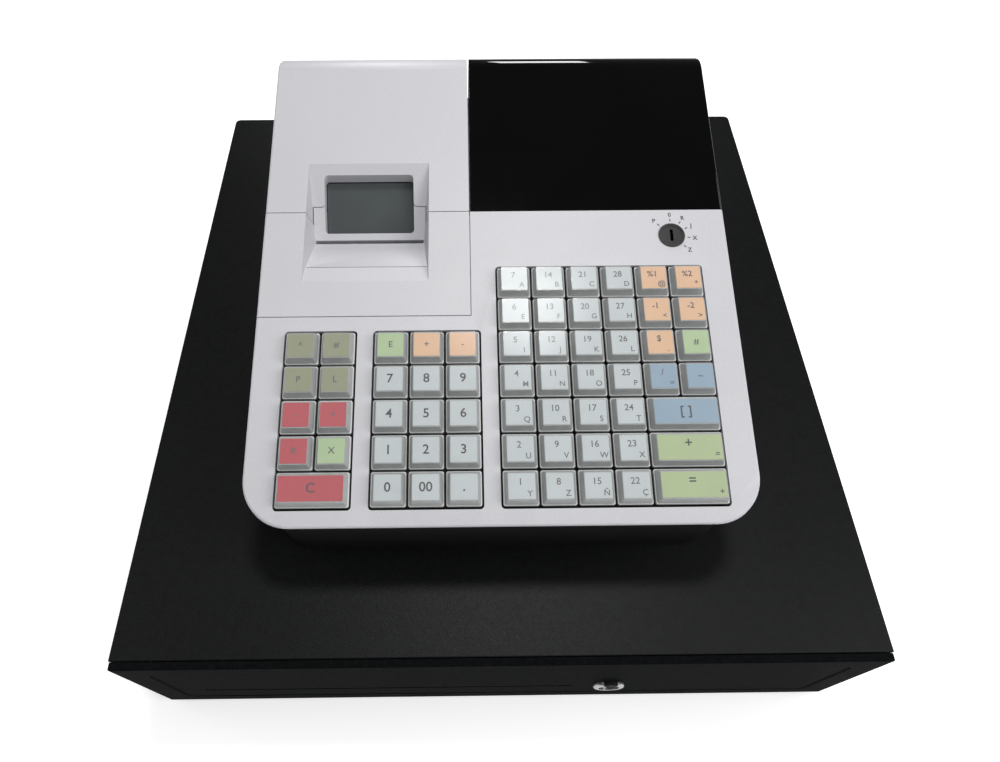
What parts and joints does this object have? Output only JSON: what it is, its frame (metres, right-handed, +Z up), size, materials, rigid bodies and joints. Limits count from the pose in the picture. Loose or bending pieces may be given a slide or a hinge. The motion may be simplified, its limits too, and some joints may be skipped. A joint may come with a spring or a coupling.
{
  "type": "cash register",
  "caption": "Electronic cash register: sloping keyboard unit with receipt printer, black display window and mode lock on a wide steel cash drawer with coin and note trays.",
  "frame": {"origin": "on the standing surface, within 2 mm of the point under the middle of the bounding box", "axes": "+Z up, +Y from the operator to the back of the drawer, +X to the operator's right"},
  "size_m": [0.41, 0.4368, 0.2189],
  "materials": {
    "black_steel": "fine textured black powder coat",
    "black_panel": "fine textured black",
    "rubber": "matt black rubber",
    "zinc_steel": "bright zinc-plated steel",
    "chrome": "polished chrome",
    "lock_steel": "satin steel",
    "tray_plastic": "fine grained dark grey ABS",
    "spring_steel": "satin spring steel",
    "winding": "varnished laminations and tape",
    "dark_plastic": "fine grained charcoal ABS",
    "circuit_board": "green solder mask",
    "silver_plastic": "satin silver-grey paint on ABS",
    "smoked_plastic": "smoked transparent acrylic",
    "platen_rubber": "ground black rubber on a steel shaft",
    "paper": "plain white thermal paper",
    "gloss_black": "high-gloss black acrylic",
    "lock_black": "satin black",
    "key_white": "clear grey cap over a white label",
    "key_red": "clear grey cap over a red label",
    "key_green": "clear grey cap over a green label",
    "key_blue": "clear grey cap over a blue label",
    "key_olive": "clear grey caps over olive, red and green labels",
    "key_orange": "clear grey caps over orange, green and blue labels"
  },
  "bodies": {
    "register": {"case_cover": "black_steel", "case_floor": "black_steel", "rubber_feet": "rubber", "outer_rails": "zinc_steel", "latch_solenoid": "winding", "housing_screws": "zinc_steel", "base_housing": "dark_plastic", "main_board": "circuit_board", "power_supply": "winding", "power_inlet": "dark_plastic", "keyboard_plate": "zinc_steel", "top_cover": "silver_plastic", "printer_cover": "silver_plastic", "paper_window": "smoked_plastic", "tear_blade": "zinc_steel", "printer_frame": "zinc_steel", "paper_web": "paper", "display_window": "gloss_black", "display_boards": "circuit_board", "mode_lock_collar": "lock_black"},
    "drawer": {"drawer_box": "black_steel", "drawer_front_panel": "black_panel", "drawer_lock_bezel": "chrome", "till_tray": "tray_plastic", "coin_tray": "tray_plastic", "inner_rails": "zinc_steel"},
    "drawer_lock": {"drawer_lock_plug": "lock_steel"},
    "ball_cages": {"ball_cages": "zinc_steel"},
    "latch": {"latch_lever": "zinc_steel"},
    "paper_lid": {"paper_lid": "silver_plastic"},
    "platen": {"platen_roller": "platen_rubber"},
    "paper_roll": {"paper_roll": "paper"},
    "mode_lock": {"mode_lock_plug": "lock_black"},
    "bill_clip_1": {"bill_clip_1": "spring_steel"},
    "bill_clip_2": {"bill_clip_2": "spring_steel"},
    "bill_clip_3": {"bill_clip_3": "spring_steel"},
    "bill_clip_4": {"bill_clip_4": "spring_steel"},
    "key_0": {"key_0": "key_white"},
    "key_00": {"key_00": "key_white"},
    "key_1": {"key_1": "key_white"},
    "key_2": {"key_2": "key_white"},
    "key_3": {"key_3": "key_white"},
    "key_4": {"key_4": "key_white"},
    "key_5": {"key_5": "key_white"},
    "key_6": {"key_6": "key_white"},
    "key_7": {"key_7": "key_white"},
    "key_8": {"key_8": "key_white"},
    "key_9": {"key_9": "key_white"},
    "key_card": {"key_card": "key_blue"},
    "key_clear": {"key_clear": "key_red"},
    "key_point": {"key_point": "key_white"},
    "key_subtotal": {"key_subtotal": "key_green"},
    "key_total": {"key_total": "key_green"},
    "keys_department_1": {"keys_department_1": "key_white"},
    "keys_department_2": {"keys_department_2": "key_white"},
    "keys_department_3": {"keys_department_3": "key_white"},
    "keys_department_4": {"keys_department_4": "key_white"},
    "keys_left_functions": {"keys_left_functions": "key_olive"},
    "keys_over_digits": {"keys_over_digits": "key_orange"},
    "keys_right_functions": {"keys_right_functions": "key_orange"}
  },
  "joints": [
    {"name": "cash_drawer_slide", "type": "slide", "parent": "register", "child": "drawer", "axis": [0, -1, 0], "range_m": [0, 0.29]},
    {"name": "rail_cage_slide", "type": "slide", "parent": "register", "child": "ball_cages", "axis": [0, -1, 0], "range_m": [0, 0.146]},
    {"name": "cash_lock_turn", "type": "hinge", "parent": "drawer", "child": "drawer_lock", "pos_m": [0.0646, -0.21, 0.043], "axis": [0, -1, 0], "range_deg": [-90, 90]},
    {"name": "control_lock_turn", "type": "hinge", "parent": "register", "child": "mode_lock", "pos_m": [0.1, -0.00091, 0.19151], "axis": [0, 0.2292, -0.9734], "range_deg": [-45, 135]},
    {"name": "cover_lid_open", "type": "hinge", "parent": "register", "child": "paper_lid", "pos_m": [-0.0705, 0.132, 0.186], "axis": [-1, 0, 0], "range_deg": [0, 95]},
    {"name": "drawer_latch_swing", "type": "hinge", "parent": "register", "child": "latch", "pos_m": [0, 0.206, 0.052], "axis": [1, 0, 0], "range_deg": [0, 7], "stiffness_Nm_per_rad": 0.05, "springref_deg": -5.73},
    {"name": "feed_roll_spin", "type": "hinge", "parent": "register", "child": "paper_roll", "pos_m": [-0.07275, 0.082, 0.15], "axis": [1, 0, 0], "continuous": true},
    {"name": "feed_platen_spin", "type": "hinge", "parent": "register", "child": "platen", "pos_m": [-0.073, 0.01954, 0.16139], "axis": [1, 0, 0], "continuous": true},
    {"name": "till_clip_1_lift", "type": "hinge", "parent": "drawer", "child": "bill_clip_1", "pos_m": [-0.13987, 0.158, 0.06], "axis": [-1, 0, 0], "range_deg": [0, 55], "stiffness_Nm_per_rad": 0.05, "springref_deg": -17.19},
    {"name": "till_clip_2_lift", "type": "hinge", "parent": "drawer", "child": "bill_clip_2", "pos_m": [-0.04662, 0.158, 0.06], "axis": [-1, 0, 0], "range_deg": [0, 55], "stiffness_Nm_per_rad": 0.05, "springref_deg": -17.19},
    {"name": "till_clip_3_lift", "type": "hinge", "parent": "drawer", "child": "bill_clip_3", "pos_m": [0.04662, 0.158, 0.06], "axis": [-1, 0, 0], "range_deg": [0, 55], "stiffness_Nm_per_rad": 0.05, "springref_deg": -17.19},
    {"name": "till_clip_4_lift", "type": "hinge", "parent": "drawer", "child": "bill_clip_4", "pos_m": [0.13987, 0.158, 0.06], "axis": [-1, 0, 0], "range_deg": [0, 55], "stiffness_Nm_per_rad": 0.05, "springref_deg": -17.19},
    {"name": "key_0_press", "type": "slide", "parent": "register", "child": "key_0", "axis": [0, -0.2292, 0.9734], "range_m": [-0.0035, 0], "stiffness_N_per_m": 170, "springref_m": 0.001},
    {"name": "key_00_press", "type": "slide", "parent": "register", "child": "key_00", "axis": [0, -0.2292, 0.9734], "range_m": [-0.0035, 0], "stiffness_N_per_m": 170, "springref_m": 0.001},
    {"name": "key_1_press", "type": "slide", "parent": "register", "child": "key_1", "axis": [0, -0.2292, 0.9734], "range_m": [-0.0035, 0], "stiffness_N_per_m": 170, "springref_m": 0.001},
    {"name": "key_2_press", "type": "slide", "parent": "register", "child": "key_2", "axis": [0, -0.2292, 0.9734], "range_m": [-0.0035, 0], "stiffness_N_per_m": 170, "springref_m": 0.001},
    {"name": "key_3_press", "type": "slide", "parent": "register", "child": "key_3", "axis": [0, -0.2292, 0.9734], "range_m": [-0.0035, 0], "stiffness_N_per_m": 170, "springref_m": 0.001},
    {"name": "key_4_press", "type": "slide", "parent": "register", "child": "key_4", "axis": [0, -0.2292, 0.9734], "range_m": [-0.0035, 0], "stiffness_N_per_m": 170, "springref_m": 0.001},
    {"name": "key_5_press", "type": "slide", "parent": "register", "child": "key_5", "axis": [0, -0.2292, 0.9734], "range_m": [-0.0035, 0], "stiffness_N_per_m": 170, "springref_m": 0.001},
    {"name": "key_6_press", "type": "slide", "parent": "register", "child": "key_6", "axis": [0, -0.2292, 0.9734], "range_m": [-0.0035, 0], "stiffness_N_per_m": 170, "springref_m": 0.001},
    {"name": "key_7_press", "type": "slide", "parent": "register", "child": "key_7", "axis": [0, -0.2292, 0.9734], "range_m": [-0.0035, 0], "stiffness_N_per_m": 170, "springref_m": 0.001},
    {"name": "key_8_press", "type": "slide", "parent": "register", "child": "key_8", "axis": [0, -0.2292, 0.9734], "range_m": [-0.0035, 0], "stiffness_N_per_m": 170, "springref_m": 0.001},
    {"name": "key_9_press", "type": "slide", "parent": "register", "child": "key_9", "axis": [0, -0.2292, 0.9734], "range_m": [-0.0035, 0], "stiffness_N_per_m": 170, "springref_m": 0.001},
    {"name": "key_card_press", "type": "slide", "parent": "register", "child": "key_card", "axis": [0, -0.2292, 0.9734], "range_m": [-0.0035, 0], "stiffness_N_per_m": 170, "springref_m": 0.001},
    {"name": "key_clear_press", "type": "slide", "parent": "register", "child": "key_clear", "axis": [0, -0.2292, 0.9734], "range_m": [-0.0035, 0], "stiffness_N_per_m": 170, "springref_m": 0.001},
    {"name": "key_point_press", "type": "slide", "parent": "register", "child": "key_point", "axis": [0, -0.2292, 0.9734], "range_m": [-0.0035, 0], "stiffness_N_per_m": 170, "springref_m": 0.001},
    {"name": "key_subtotal_press", "type": "slide", "parent": "register", "child": "key_subtotal", "axis": [0, -0.2292, 0.9734], "range_m": [-0.0035, 0], "stiffness_N_per_m": 170, "springref_m": 0.001},
    {"name": "key_total_press", "type": "slide", "parent": "register", "child": "key_total", "axis": [0, -0.2292, 0.9734], "range_m": [-0.0035, 0], "stiffness_N_per_m": 170, "springref_m": 0.001},
    {"name": "keys_department_1_press", "type": "slide", "parent": "register", "child": "keys_department_1", "axis": [0, -0.2292, 0.9734], "range_m": [-0.0035, 0], "stiffness_N_per_m": 1190, "springref_m": 0.001},
    {"name": "keys_department_2_press", "type": "slide", "parent": "register", "child": "keys_department_2", "axis": [0, -0.2292, 0.9734], "range_m": [-0.0035, 0], "stiffness_N_per_m": 1190, "springref_m": 0.001},
    {"name": "keys_department_3_press", "type": "slide", "parent": "register", "child": "keys_department_3", "axis": [0, -0.2292, 0.9734], "range_m": [-0.0035, 0], "stiffness_N_per_m": 1190, "springref_m": 0.001},
    {"name": "keys_department_4_press", "type": "slide", "parent": "register", "child": "keys_department_4", "axis": [0, -0.2292, 0.9734], "range_m": [-0.0035, 0], "stiffness_N_per_m": 1190, "springref_m": 0.001},
    {"name": "keys_left_functions_press", "type": "slide", "parent": "register", "child": "keys_left_functions", "axis": [0, -0.2292, 0.9734], "range_m": [-0.0035, 0], "stiffness_N_per_m": 1360, "springref_m": 0.001},
    {"name": "keys_over_digits_press", "type": "slide", "parent": "register", "child": "keys_over_digits", "axis": [0, -0.2292, 0.9734], "range_m": [-0.0035, 0], "stiffness_N_per_m": 510, "springref_m": 0.001},
    {"name": "keys_right_functions_press", "type": "slide", "parent": "register", "child": "keys_right_functions", "axis": [0, -0.2292, 0.9734], "range_m": [-0.0035, 0], "stiffness_N_per_m": 1360, "springref_m": 0.001}
  ],
  "couplings": [
    {"joint": "rail_cage_slide", "follows": "cash_drawer_slide", "ratio": 0.5},
    {"joint": "feed_platen_spin", "follows": "feed_roll_spin", "ratio": -6.6}
  ]
}
